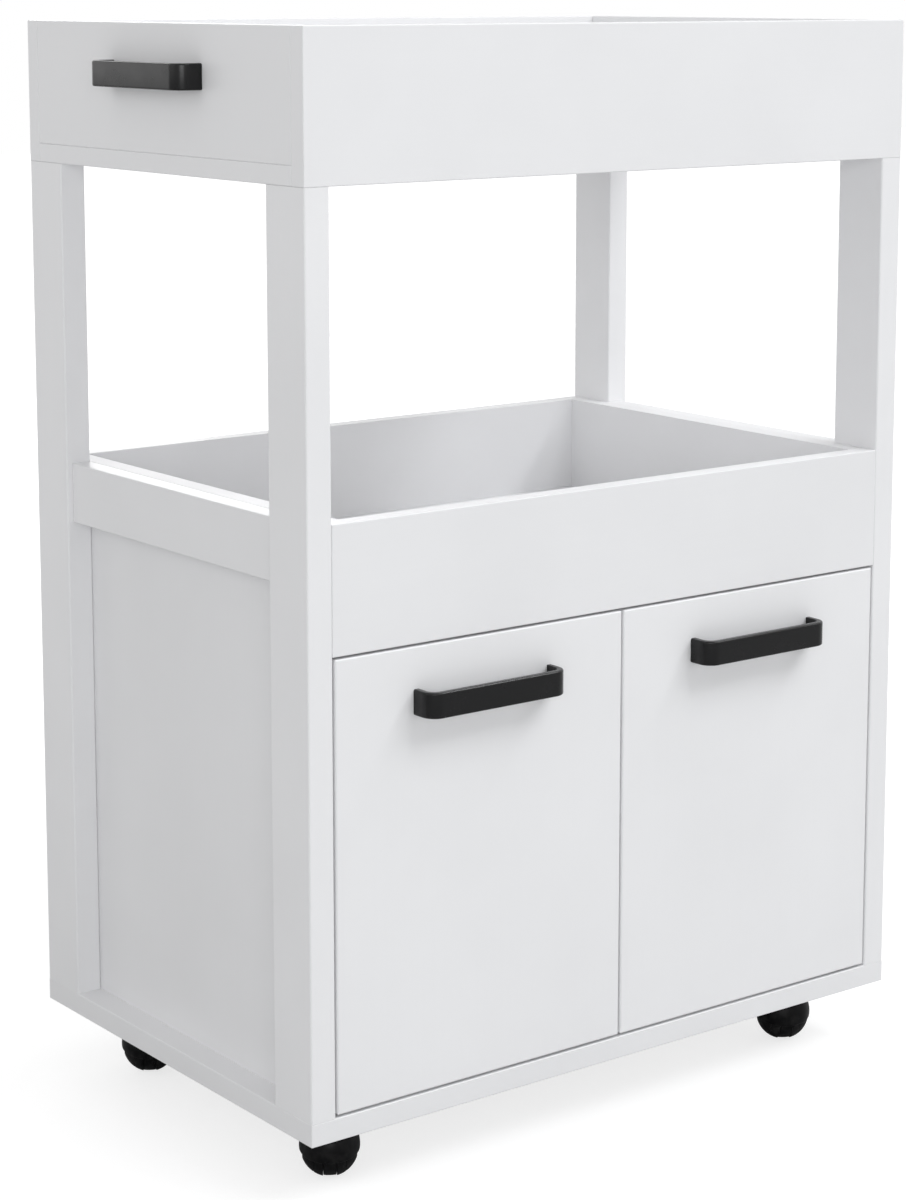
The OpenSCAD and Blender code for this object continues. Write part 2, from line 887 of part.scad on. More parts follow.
module rear_right_axle() caster_axle(right, rear);

module rear_right_wheel_a() caster_wheel(right, rear, left);

module rear_right_wheel_b() caster_wheel(right, rear, right);

// ---- Fasteners ----

module dowels() {
    color(beech) centred() {
        dowels_at(post_dowels);
        dowels_at(rail_dowels);
        dowels_at(lower_end_dowels);
        dowels_at(lower_rim_dowels);
        dowels_at(lower_side_dowels);
        dowels_at(panel_dowels);
        dowels_at(upper_rim_dowels);
        dowels_at(upper_corner_dowels);
        dowels_at(upper_side_dowels);
    }
}

module post_screws() {
    color(bright_steel) centred() sunk_screws_at(post_screw_places, post_screw_d, post_screw_l);
}

module panel_screws() {
    color(bright_steel) centred() sunk_screws_at(panel_screw_places, wood_screw_d, panel_screw_l);
}

module back_nails() {
    color(bright_steel) centred() for (p = nail_places)
        translate(p[0]) rotate(p[1]) {
            cylinder(d = nail_d, h = nail_l);
            translate([0, 0, -nail_head_h]) cylinder(d = nail_head_d, h = nail_head_h);
        }
}

// ---- Nodes ----

base_board();
front_left_post();
front_right_post();
rear_left_post();
rear_right_post();
left_side_panel();
right_side_panel();
left_side_rail();
right_side_rail();
lower_tray_front();
lower_tray_back();
lower_tray_floor();
cabinet_back();
upper_tray_floor();
upper_tray_front();
upper_tray_back();
upper_tray_left();
upper_tray_right();
push_handle();
push_handle_screws();
dowels();
post_screws();
panel_screws();
back_nails();
caster_plates();
caster_screws();
hinge_plates();
hinge_plate_screws();
hinge_arms();
hinge_arm_screws();
left_door();
left_door_pull();
left_pull_screws();
left_hinge_cups();
left_cup_screws();
right_door();
right_door_pull();
right_pull_screws();
right_hinge_cups();
right_cup_screws();
front_left_hood();
front_left_axle();
front_left_wheel_a();
front_left_wheel_b();
front_right_hood();
front_right_axle();
front_right_wheel_a();
front_right_wheel_b();
rear_left_hood();
rear_left_axle();
rear_left_wheel_a();
rear_left_wheel_b();
rear_right_hood();
rear_right_axle();
rear_right_wheel_a();
rear_right_wheel_b();
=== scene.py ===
"""A white kitchen cart on casters, dressed in paint, powder coat, nylon and zinc.

Lengths are in metres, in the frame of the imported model: X to the right, Y to the
back, Z up, and the floor at Z = 0.
"""

import json
import logging
import math
from collections.abc import Callable
from dataclasses import dataclass
from enum import Enum
from typing import ClassVar

import bpy
import numpy as np
from mathutils import Matrix, Vector


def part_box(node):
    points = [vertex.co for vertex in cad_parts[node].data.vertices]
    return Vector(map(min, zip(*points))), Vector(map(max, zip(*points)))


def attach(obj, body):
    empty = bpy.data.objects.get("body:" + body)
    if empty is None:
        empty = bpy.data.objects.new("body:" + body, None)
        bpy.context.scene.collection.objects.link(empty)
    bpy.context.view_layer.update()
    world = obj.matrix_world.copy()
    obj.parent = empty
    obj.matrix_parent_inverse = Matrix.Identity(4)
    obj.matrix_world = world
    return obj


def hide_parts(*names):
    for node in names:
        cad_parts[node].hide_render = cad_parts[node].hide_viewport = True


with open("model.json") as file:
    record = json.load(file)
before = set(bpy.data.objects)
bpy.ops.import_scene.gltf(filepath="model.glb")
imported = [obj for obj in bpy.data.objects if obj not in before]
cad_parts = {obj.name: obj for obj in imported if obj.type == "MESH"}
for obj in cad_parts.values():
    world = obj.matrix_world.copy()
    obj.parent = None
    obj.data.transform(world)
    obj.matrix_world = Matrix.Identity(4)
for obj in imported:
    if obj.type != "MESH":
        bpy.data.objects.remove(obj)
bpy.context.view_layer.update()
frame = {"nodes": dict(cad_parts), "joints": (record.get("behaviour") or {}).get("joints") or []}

MM = 0.001
LOG = logging.getLogger("cart")
SHARP_ANGLE = math.radians(38)
ORIGIN = (0.0, 0.0, 0.0)
X_AXIS = (1.0, 0.0, 0.0)
Y_AXIS = (0.0, 1.0, 0.0)
Z_AXIS = (0.0, 0.0, 1.0)


# ---------------------------------------------------------------- surfaces


@dataclass(frozen=True)
class Surface:
    """Points and the faces between them, in metres."""

    points: np.ndarray
    faces: list[tuple[int, ...]]

    def moved(self, place: "Placement") -> "Surface":
        """Carries the surface to a place.

        Args:
            place: the frame that the surface's own axes are laid along.

        Returns:
            The same faces on the carried points.
        """
        return Surface(place.carry(self.points), self.faces)


@dataclass(frozen=True)
class Placement:
    """An origin and three axes, each a unit vector of the cart's frame."""

    origin: tuple[float, float, float]
    x: tuple[float, float, float] = X_AXIS
    y: tuple[float, float, float] = Y_AXIS
    z: tuple[float, float, float] = Z_AXIS

    def carry(self, points: np.ndarray) -> np.ndarray:
        """Carries local points: origin + px x + py y + pz z.

        Args:
            points: an N by 3 array in the local axes.

        Returns:
            The points in the cart's frame.
        """
        return points @ np.array([self.x, self.y, self.z]) + np.array(self.origin)


def outward(surface: Surface) -> Surface:
    """Turns a closed surface's faces outwards.

    The sum of the signed volumes of the cones from the origin to each face is
    negative where the faces point in, and then each face's order is reversed.

    Args:
        surface: a closed surface whose faces agree with each other.

    Returns:
        The surface with its faces pointing out.
    """
    volume = 0.0
    centred = surface.points - surface.points.mean(axis=0)
    for sides in {len(f) for f in surface.faces}:
        ring = np.array([f for f in surface.faces if len(f) == sides])
        corner = centred[ring]
        for k in range(1, sides - 1):
            cross = np.cross(corner[:, k], corner[:, k + 1])
            volume += float(np.einsum("ij,ij->", corner[:, 0], cross))
    if volume >= 0:
        return surface
    return Surface(surface.points, [tuple(reversed(f)) for f in surface.faces])


def joined(parts: list[Surface]) -> Surface:
    """Puts closed shells into one surface.

    Args:
        parts: the shells.

    Returns:
        One surface that holds them all.
    """
    points, faces, start = [], [], 0
    for part in parts:
        points.append(part.points)
        faces += [tuple(i + start for i in f) for f in part.faces]
        start += len(part.points)
    return Surface(np.concatenate(points), faces)


def skinned(grid: np.ndarray, ends: np.ndarray) -> Surface:
    """Spans faces over a pile of rings and closes each end with a fan.

    Point j of ring i is joined to point j + 1 and to the same two points of ring
    i + 1, and the last point of a ring is followed by its first.

    Args:
        grid: an N by K by 3 array, N rings of K points.
        ends: a 2 by 3 array, the middles of the two fans.

    Returns:
        A closed surface whose faces agree with each other.
    """
    rings, count = grid.shape[:2]
    j = np.arange(count)
    after = (j + 1) % count
    i = np.arange(rings - 1)[:, None] * count
    quads = np.stack([i + j, i + after, i + after + count, i + j + count], axis=-1)
    first, last, top = rings * count, rings * count + 1, (rings - 1) * count
    low_fan = np.stack([0 * j + first, after, j], axis=-1)
    high_fan = np.stack([0 * j + last, j + top, after + top], axis=-1)
    faces = [tuple(f) for part in (quads.reshape(-1, 4), low_fan, high_fan) for f in part.tolist()]
    return Surface(np.concatenate([grid.reshape(-1, 3), ends]), faces)


def turned(
    profile: np.ndarray,
    steps: int,
    radius_of: Callable[[np.ndarray, np.ndarray], np.ndarray] | None = None,
    height_of: Callable[[np.ndarray, np.ndarray, np.ndarray], np.ndarray] | None = None,
) -> Surface:
    """Turns a profile about Z into a closed surface.

    Point (i, j) is (r cos a, r sin a, h), with (r, h) the i-th profile point and
    a = 2 pi j / steps. The first and last profile points lie on the axis, and
    each is one shared vertex.

    Args:
        profile: a K by 2 array of radius and height.
        steps: the number of steps round the axis.
        radius_of: an optional function of the radii and angles that changes the radii.
        height_of: an optional function of x, y and height that changes the heights.

    Returns:
        The closed surface, its faces outwards.
    """
    angle = np.arange(steps) * 2 * math.pi / steps
    radius = np.repeat(profile[1:-1, :1], steps, axis=1)
    height = np.repeat(profile[1:-1, 1:], steps, axis=1)
    if radius_of is not None:
        radius = radius_of(radius, angle[None, :])
    grid = np.stack([radius * np.cos(angle), radius * np.sin(angle), height], axis=-1)
    ends = np.array([[0.0, 0.0, profile[0, 1]], [0.0, 0.0, profile[-1, 1]]])
    surface = skinned(grid, ends)
    if height_of is not None:
        surface.points[:, 2] = height_of(*surface.points.T)
    return outward(surface)


def swept(section: np.ndarray, origins: np.ndarray, normals: np.ndarray) -> Surface:
    """Carries a closed section along a path in the XY plane.

    Point (i, j) is origin i + n normal i + z Z, with (n, z) the j-th point of the
    section. Each end is closed by a fan about its middle.

    Args:
        section: a K by 2 array of points, offset along the normal and height.
        origins: an N by 3 array of stations.
        normals: an N by 3 array of unit vectors.

    Returns:
        The closed surface, its faces outwards.
    """
    across = normals[:, None, :] * section[None, :, :1]
    grid = origins[:, None, :] + across + np.array(Z_AXIS) * section[None, :, 1:]
    return outward(skinned(grid, grid[[0, -1]].mean(axis=1)))


def arc(centre: tuple[float, float], radius: float, start: float, end: float, count: int) -> np.ndarray:
    """Points on an arc: centre + radius (cos a, sin a).

    Args:
        centre: the arc's centre.
        radius: its radius.
        start: the first angle in degrees.
        end: the last angle in degrees.
        count: the number of points.

    Returns:
        A count by 2 array.
    """
    a = np.radians(np.linspace(start, end, count))
    return np.array(centre) + radius * np.stack([np.cos(a), np.sin(a)], axis=-1)


def make_piece(name: str, surface: Surface, finish: "Finish", body: str) -> bpy.types.Object:
    """Makes a smooth-shaded piece that rides on a body.

    Args:
        name: the piece's name.
        surface: its points and faces.
        finish: the finish that it wears.
        body: the body that carries it.

    Returns:
        The new object.
    """
    mesh = bpy.data.meshes.new(name)
    mesh.from_pydata(surface.points.tolist(), [], surface.faces)
    mesh.polygons.foreach_set("use_smooth", np.ones(len(mesh.polygons), dtype=bool))
    mesh.set_sharp_from_angle(angle=SHARP_ANGLE)
    mesh.update()
    piece = bpy.data.objects.new(name, mesh)
    bpy.context.scene.collection.objects.link(piece)
    mesh.materials.append(finish.material())
    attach(piece, body)
    LOG.info("%s: %d faces, on %s", name, len(surface.faces), body)
    return piece


# ---------------------------------------------------------------- node trees


class Graph:
    """Adds and links the nodes of one tree."""

    def __init__(self, tree: bpy.types.NodeTree) -> None:
        """Keeps the tree."""
        self.tree = tree

    def put(self, socket: bpy.types.NodeSocket, value: object) -> None:
        """Links an output to an input, or sets the input to a plain value.

        Args:
            socket: the input.
            value: the output or the value.
        """
        if isinstance(value, bpy.types.NodeSocket):
            self.tree.links.new(value, socket)
        else:
            socket.default_value = value

    def feed(self, node: bpy.types.Node, inputs: dict) -> None:
        """Feeds a node's inputs.

        Args:
            node: the node.
            inputs: for each input, a value, or an output that is linked to it.
        """
        for key, value in inputs.items():
            self.put(node.inputs[key], value)

    def add(self, kind: str, inputs: dict | None = None, **settings: object) -> bpy.types.Node:
        """Adds a node.

        Args:
            kind: the node's type.
            inputs: for each input, a value, or an output that is linked to it.
            settings: attributes of the node.

        Returns:
            The node.
        """
        node = self.tree.nodes.new(kind)
        for key, value in settings.items():
            setattr(node, key, value)
        self.feed(node, inputs or {})
        return node

    def group(self, effect: bpy.types.NodeTree, inputs: dict | None = None) -> bpy.types.bpy_prop_collection:
        """Adds a node group.

        Args:
            effect: the group.
            inputs: its values here.

        Returns:
            The group's outputs.
        """
        return self.add("ShaderNodeGroup", inputs, node_tree=effect).outputs

    def bevel(self, radius: object) -> bpy.types.NodeSocket:
        """Gives the normals of edges that are rounded by a radius."""
        return self.add("ShaderNodeBevel", {"Radius": radius}, samples=6).outputs[0]

    def bump(self, height: object, distance: float, strength: float = 1.0) -> bpy.types.Node:
        """Adds a bump.

        Args:
            height: the height over the surface, 0 to 1.
            distance: how far 1 stands out, in metres.
            strength: how much of it shows.

        Returns:
            The node, whose first output is the normal.
        """
        return self.add("ShaderNodeBump", {"Height": height, "Distance": distance, "Strength": strength})

    def blend(self, factor: object, a: object, b: object) -> bpy.types.NodeSocket:
        """Mixes two colours.

        Args:
            factor: the share of b.
            a: the first colour.
            b: the second colour.

        Returns:
            The mixed colour.
        """
        mix = self.add("ShaderNodeMix", data_type="RGBA")
        for socket, value in ((mix.inputs[0], factor), (mix.inputs[6], a), (mix.inputs[7], b)):
            self.put(socket, value)
        return mix.outputs[2]

    def math(self, operation: str, a: object, b: object = 0.0) -> bpy.types.NodeSocket:
        """Adds one sum.

        Args:
            operation: its name.
            a: the first value.
            b: the second value.

        Returns:
            The result.
        """
        return self.add("ShaderNodeMath", {0: a, 1: b}, operation=operation).outputs[0]

    def span(
        self, value: object, low: float, high: float, to_low: float, to_high: float
    ) -> bpy.types.NodeSocket:
        """Carries a value from one span to another, clamped.

        Args:
            value: the value.
            low: the start of its span.
            high: the end of its span.
            to_low: what the start becomes.
            to_high: what the end becomes.

        Returns:
            The carried value.
        """
        return self.add("ShaderNodeMapRange", {0: value, 1: low, 2: high, 3: to_low, 4: to_high}).outputs[0]

    def spread(self, noise: object, low: float, high: float) -> bpy.types.NodeSocket:
        """Spreads a noise, most of which lies from 0.3 to 0.7, over a span.

        Args:
            noise: the noise.
            low: the start of the span.
            high: its end.

        Returns:
            The spread noise.
        """
        return self.span(noise, 0.3, 0.7, low, high)


class Effects:
    """The node groups that several finishes use, each built once."""

    TURN_SPAN: ClassVar[tuple[float, float]] = (0.01, 0.14)
    PATCH_SPAN: ClassVar[tuple[float, float]] = (0.38, 0.68)
    PATCH_LEAST: ClassVar[float] = 0.15
    _groups: ClassVar[dict[str, bpy.types.NodeTree]] = {}

    @classmethod
    def _open(
        cls, name: str, inputs: dict[str, float], outputs: list[str]
    ) -> tuple[Graph, bpy.types.Node, bpy.types.Node] | None:
        """Starts a group, unless it is there already.

        Args:
            name: the group's name.
            inputs: its inputs with their first values.
            outputs: its outputs.

        Returns:
            The graph with its input and output nodes, or nothing if it was built before.
        """
        if name in cls._groups:
            return None
        tree = bpy.data.node_groups.new(name, "ShaderNodeTree")
        for key, value in inputs.items():
            socket = tree.interface.new_socket(key, in_out="INPUT", socket_type="NodeSocketFloat")
            socket.default_value = value
        for key in outputs:
            tree.interface.new_socket(key, in_out="OUTPUT", socket_type="NodeSocketFloat")
        cls._groups[name] = tree
        graph = Graph(tree)
        return graph, graph.add("NodeGroupInput"), graph.add("NodeGroupOutput")

    @classmethod
    def edge_wear(cls) -> bpy.types.NodeTree:
        """Marks the edges, where the coat is thin.

        The mask is 1 - cos t, with t the turn from the flat normal to the bevelled
        one, times patches of noise.

        Returns:
            The group, which puts out Mask.
        """
        opened = cls._open("edge_wear", {"Radius": 1.0 * MM, "Patch size": 12 * MM}, ["Mask"])
        if opened:
            g, given, put = opened
            where = g.add("ShaderNodeTexCoord").outputs["Object"]
            soft = g.bevel(given.outputs["Radius"])
            hard = g.add("ShaderNodeNewGeometry").outputs["Normal"]
            turn = g.add("ShaderNodeVectorMath", {0: soft, 1: hard}, operation="DOT_PRODUCT").outputs["Value"]
            edge = g.span(g.math("SUBTRACT", 1.0, turn), *cls.TURN_SPAN, 0.0, 1.0)
            scale = g.math("DIVIDE", 1.0, given.outputs["Patch size"])
            noise = g.add("ShaderNodeTexNoise", {"Vector": where, "Scale": scale, "Detail": 4.0})
            patch = g.span(noise.outputs["Fac"], *cls.PATCH_SPAN, cls.PATCH_LEAST, 1.0)
            worn = g.math("MULTIPLY", edge, patch)
            g.feed(put, {"Mask": worn})
        return cls._groups["edge_wear"]

    @classmethod
    def coat(cls) -> bpy.types.NodeTree:
        """A sprayed coat: fine orange peel as a height, and wide faint clouds as a mask.

        Returns:
            The group, which puts out Height and Cloud.
        """
        opened = cls._open("coat", {"Peel size": 1.6 * MM, "Cloud size": 130 * MM}, ["Height", "Cloud"])
        if opened:
            g, given, put = opened
            where = g.add("ShaderNodeTexCoord").outputs["Object"]
            fine = g.math("DIVIDE", 1.0, given.outputs["Peel size"])
            wide = g.math("DIVIDE", 1.0, given.outputs["Cloud size"])
            peel = g.add("ShaderNodeTexNoise", {"Vector": where, "Scale": fine, "Detail": 2.0})
            cloud = g.add("ShaderNodeTexNoise", {"Vector": where, "Scale": wide, "Detail": 3.0})
            g.feed(put, {"Height": peel.outputs["Fac"], "Cloud": cloud.outputs["Fac"]})
        return cls._groups["coat"]

    @classmethod
    def grain(cls) -> bpy.types.NodeTree:
        """Fibres along one axis: noise on coordinates that are drawn out by the three lengths.

        Returns:
            The group, which puts out Fibre.
        """
        sizes = {"Length X": 3 * MM, "Length Y": 3 * MM, "Length Z": 160 * MM}
        opened = cls._open("grain", sizes, ["Fibre"])
        if opened:
            g, given, put = opened
            where = g.add("ShaderNodeTexCoord").outputs["Object"]
            drawn = g.add(
                "ShaderNodeCombineXYZ",
                {axis: g.math("DIVIDE", 1.0, given.outputs[f"Length {axis}"]) for axis in "XYZ"},
            ).outputs[0]
            at = g.add("ShaderNodeVectorMath", {0: where, 1: drawn}, operation="MULTIPLY").outputs[0]
            noise = g.add("ShaderNodeTexNoise", {"Vector": at, "Scale": 1.0, "Detail": 5.0, "Roughness": 0.6})
            g.feed(put, {"Fibre": noise.outputs["Fac"]})
        return cls._groups["grain"]


# ---------------------------------------------------------------- finishes


class Grain(Enum):
    """The way that fibres or drawn marks run: their lengths along X, Y and Z."""

    ACROSS = (150 * MM, 2.6 * MM, 2.6 * MM)
    DEEP = (2.6 * MM, 150 * MM, 2.6 * MM)
    UPRIGHT = (2.6 * MM, 2.6 * MM, 150 * MM)
    DRAWN = (0.25 * MM, 9 * MM, 0.25 * MM)
    FLECKS = (1.8 * MM, 1.8 * MM, 1.8 * MM)

    def fibres(self, g: Graph) -> bpy.types.NodeSocket:
        """Adds the grain group with these lengths and gives its fibres."""
        lengths = {f"Length {axis}": length for axis, length in zip("XYZ", self.value)}
        return g.group(Effects.grain(), lengths)["Fibre"]


@dataclass(frozen=True)
class Finish:
    """A finish with a name, a colour and a gloss."""

    name: str
    colour: tuple[float, float, float]
    roughness: float

    def material(self) -> bpy.types.Material:
        """Gives the finish's material, built on first use.

        Returns:
            The material.
        """
        found = bpy.data.materials.get(self.name)
        if found is not None:
            return found
        made = bpy.data.materials.new(self.name)
        made.use_nodes = True
        made.diffuse_color = (*self.colour, 1.0)
        graph = Graph(made.node_tree)
        self.dress(graph, made.node_tree.nodes["Principled BSDF"])
        return made

    def dress(self, g: Graph, shader: bpy.types.Node) -> None:
        """Sets the shader up. Each kind of finish does this in its own way."""
        raise NotImplementedError

    def shade(self, share: float) -> tuple[float, float, float, float]:
        """Gives the colour times a share, with full alpha."""
        return (*(c * share for c in self.colour), 1.0)

    def shades(self, shares: tuple[float, float]) -> list[tuple[float, float, float, float]]:
        """Gives the darker and the lighter shade of two shares."""
        return [self.shade(share) for share in shares]

    def gloss(self, g: Graph, cloud: object, steps: tuple[float, float]) -> bpy.types.NodeSocket:
        """Clouds the roughness, from the first step under its plain value to the second over it."""
        return g.spread(cloud, self.roughness - steps[0], self.roughness + steps[1])


@dataclass(frozen=True)
class Paint(Finish):
    """Satin paint on board: faint clouds, orange peel, fibres below and thin edges."""

    grain: Grain = Grain.ACROSS
    peel: float = 0.012 * MM
    edge_colour: tuple[float, float, float, float] = (0.80, 0.785, 0.76, 1.0)
    edge_share: float = 0.3
    edge_round: float = 0.3 * MM
    cloud_shades: tuple[float, float] = (0.982, 1.01)
    streak_span: tuple[float, float] = (0.35, 0.65)
    streak_share: float = 0.07
    streak_shade: float = 0.95
    fibre_relief: float = 0.3
    gloss_steps: tuple[float, float] = (0.05, 0.05)
    ior: float = 1.46

    def dress(self, g: Graph, shader: bpy.types.Node) -> None:
        """Sets the paint's shader up.

        Args:
            g: the graph of its tree.
            shader: the shader node.
        """
        coat = g.group(Effects.coat())
        wear = g.group(Effects.edge_wear())
        fibre = self.grain.fibres(g)
        clouded = g.blend(g.spread(coat["Cloud"], 0.0, 1.0), *self.shades(self.cloud_shades))
        streak = g.span(fibre, *self.streak_span, 0.0, self.streak_share)
        streaked = g.blend(streak, clouded, self.shade(self.streak_shade))
        worn = g.math("MULTIPLY", wear["Mask"], self.edge_share)
        relief = g.math("ADD", coat["Height"], g.math("MULTIPLY", fibre, self.fibre_relief))
        bump = g.bump(relief, self.peel)
        g.put(bump.inputs["Normal"], g.bevel(self.edge_round))
        g.feed(shader, {
            "Base Color": g.blend(worn, streaked, self.edge_colour),
            "Roughness": self.gloss(g, coat["Cloud"], self.gloss_steps),
            "IOR": self.ior,
            "Normal": bump.outputs[0],
        })


@dataclass(frozen=True)
class PowderCoat(Finish):
    """Black powder coat: a fine even pebble, and edges a little greyer from use."""

    specular: float = 0.33
    pebble: float = 0.5 * MM
    pebble_depth: float = 0.008 * MM
    pebble_strength: float = 0.5
    cloud: float = 18 * MM
    cloud_shades: tuple[float, float] = (0.8, 1.25)
    gloss_steps: tuple[float, float] = (0.04, 0.06)
    worn_radius: float = 0.6 * MM
    worn_share: float = 0.25
    worn_shade: float = 4.0

    def dress(self, g: Graph, shader: bpy.types.Node) -> None:
        """Sets the powder coat's shader up.

        Args:
            g: the graph of its tree.
            shader: the shader node.
        """
        coat = g.group(Effects.coat(), {"Peel size": self.pebble, "Cloud size": self.cloud})
        wear = g.group(Effects.edge_wear(), {"Radius": self.worn_radius})
        clouded = g.blend(coat["Cloud"], *self.shades(self.cloud_shades))
        worn = g.math("MULTIPLY", wear["Mask"], self.worn_share)
        g.feed(shader, {
            "Base Color": g.blend(worn, clouded, self.shade(self.worn_shade)),
            "Roughness": self.gloss(g, coat["Cloud"], self.gloss_steps),
            "Specular IOR Level": self.specular,
            "Normal": g.bump(coat["Height"], self.pebble_depth, self.pebble_strength).outputs[0],
        })


@dataclass(frozen=True)
class Nylon(Finish):
    """Moulded black nylon: a fine spark texture and faint dust in the clouds."""

    dust: float = 0.10
    specular: float = 0.12
    spark: float = 0.35 * MM
    spark_depth: float = 0.015 * MM
    spark_strength: float = 0.7
    cloud: float = 9 * MM
    gloss_steps: tuple[float, float] = (0.06, 0.08)
    dust_span: tuple[float, float] = (0.45, 0.75)
    dust_colour: tuple[float, float, float, float] = (0.12, 0.115, 0.11, 1.0)

    def dress(self, g: Graph, shader: bpy.types.Node) -> None:
        """Sets the nylon's shader up.

        Args:
            g: the graph of its tree.
            shader: the shader node.
        """
        coat = g.group(Effects.coat(), {"Peel size": self.spark, "Cloud size": self.cloud})
        dusty = g.span(coat["Cloud"], *self.dust_span, 0.0, self.dust)
        g.feed(shader, {
            "Base Color": g.blend(dusty, self.shade(1.0), self.dust_colour),
            "Roughness": self.gloss(g, coat["Cloud"], self.gloss_steps),
            "Specular IOR Level": self.specular,
            "Normal": g.bump(coat["Height"], self.spark_depth, self.spark_strength).outputs[0],
        })


@dataclass(frozen=True)
class Zinc(Finish):
    """Zinc-plated steel: drawn marks and clouded gloss."""

    mark_shades: tuple[float, float] = (0.86, 1.08)
    mark_depth: float = 0.01 * MM
    mark_strength: float = 0.6
    cloud: float = 6 * MM
    gloss_steps: tuple[float, float] = (0.08, 0.08)

    def dress(self, g: Graph, shader: bpy.types.Node) -> None:
        """Sets the zinc's shader up.

        Args:
            g: the graph of its tree.
            shader: the shader node.
        """
        fibre = Grain.DRAWN.fibres(g)
        coat = g.group(Effects.coat(), {"Cloud size": self.cloud})
        g.feed(shader, {
            "Base Color": g.blend(g.spread(fibre, 0.0, 1.0), *self.shades(self.mark_shades)),
            "Roughness": self.gloss(g, coat["Cloud"], self.gloss_steps),
            "Metallic": 1.0,
            "Normal": g.bump(fibre, self.mark_depth, self.mark_strength).outputs[0],
        })


@dataclass(frozen=True)
class Beech(Finish):
    """Bare beech: warm wood with darker flecks along its fibres."""

    fleck_span: tuple[float, float] = (0.4, 0.7)
    fleck_shade: float = 0.7
    fleck_depth: float = 0.05 * MM

    def dress(self, g: Graph, shader: bpy.types.Node) -> None:
        """Sets the wood's shader up.

        Args:
            g: the graph of its tree.
            shader: the shader node.
        """
        fibre = Grain.FLECKS.fibres(g)
        fleck = g.span(fibre, *self.fleck_span, 0.0, 1.0)
        g.feed(shader, {
            "Base Color": g.blend(fleck, self.shade(1.0), self.shade(self.fleck_shade)),
            "Roughness": self.roughness,
            "Normal": g.bump(fibre, self.fleck_depth).outputs[0],
        })


WHITE = (0.84, 0.84, 0.85)
# The posts and doors get a lighter white than the other boards. This is painted light: it makes up for the
# soft boxes' falloff towards the doors, so their fronts come out as bright as the tray fronts.
UPRIGHT_WHITE_PAINTED_LIGHT = (0.86, 0.86, 0.87)
PAINT_ACROSS = Paint("white_paint_across", WHITE, 0.42, Grain.ACROSS)
PAINT_DEEP = Paint("white_paint_deep", WHITE, 0.42, Grain.DEEP)
PAINT_UPRIGHT_PAINTED_LIGHT = Paint("white_paint_upright_painted_light", UPRIGHT_WHITE_PAINTED_LIGHT, 0.42, Grain.UPRIGHT)
LAMINATE = Paint("white_laminate", (0.83, 0.83, 0.84), 0.5, Grain.UPRIGHT, 0.008 * MM)
HARDBOARD = Paint("white_hardboard", (0.78, 0.78, 0.79), 0.6, Grain.UPRIGHT, 0.02 * MM)
BLACK_PULL = PowderCoat("black_powder_coat", (0.003, 0.003, 0.0034), 0.24)
BLACK_HOOD = Nylon("black_nylon_hood", (0.0025, 0.0025, 0.003), 0.38)
BLACK_WHEEL = Nylon("black_nylon_wheel", (0.0025, 0.0025, 0.003), 0.46, 0.16)
ZINC = Zinc("zinc_plate", (0.60, 0.60, 0.59), 0.34)
BEECH = Beech("bare_beech", (0.52, 0.36, 0.21), 0.6)


# ---------------------------------------------------------------- frame and boards


@dataclass
class Carcass:
    """The boards and posts, whose solids are shown as they are, in paint."""

    across: tuple[str, ...] = (
        "lower_tray_front", "lower_tray_back", "lower_tray_floor",
        "upper_tray_front", "upper_tray_back", "upper_tray_floor", "base_board",
    )
    deep: tuple[str, ...] = ("left_side_rail", "right_side_rail", "upper_tray_left", "upper_tray_right")
    upright: tuple[str, ...] = (
        "front_left_post", "front_right_post", "rear_left_post", "rear_right_post",
        "left_door", "right_door",
    )
    laminated: tuple[str, ...] = ("left_side_panel", "right_side_panel")

    def dress(self) -> None:
        """Gives every board its finish."""
        for finish, names in (
            (PAINT_ACROSS, self.across),
            (PAINT_DEEP, self.deep),
            # The posts and doors wear the lighter white, which is painted light for the soft boxes' falloff.
            (PAINT_UPRIGHT_PAINTED_LIGHT, self.upright),
            (LAMINATE, self.laminated),
            (HARDBOARD, ("cabinet_back",)),
        ):
            for name in names:
                wear(name, finish)


def wear(node: str, finish: Finish) -> None:
    """Puts a finish on a CAD node.

    Args:
        node: the node's name.
        finish: the finish that it wears.
    """
    mesh = frame["nodes"][node].data
    mesh.materials.clear()
    mesh.materials.append(finish.material())
    LOG.info("%s wears %s", node, finish.name)


@dataclass
class Hardware:
    """The small steel and wooden pieces, whose solids are shown as they are."""

    steel: tuple[str, ...] = (
        "post_screws", "panel_screws", "back_nails", "caster_plates", "caster_screws",
        "hinge_plates", "hinge_plate_screws", "hinge_arms", "hinge_arm_screws",
        "left_hinge_cups", "left_cup_screws", "right_hinge_cups", "right_cup_screws",
        "left_pull_screws", "right_pull_screws", "push_handle_screws",
        "front_left_axle", "front_right_axle", "rear_left_axle", "rear_right_axle",
    )

    def dress(self) -> None:
        """Gives every small piece its finish."""
        for name in self.steel:
            wear(name, ZINC)
        wear("dowels", BEECH)


# ---------------------------------------------------------------- pulls


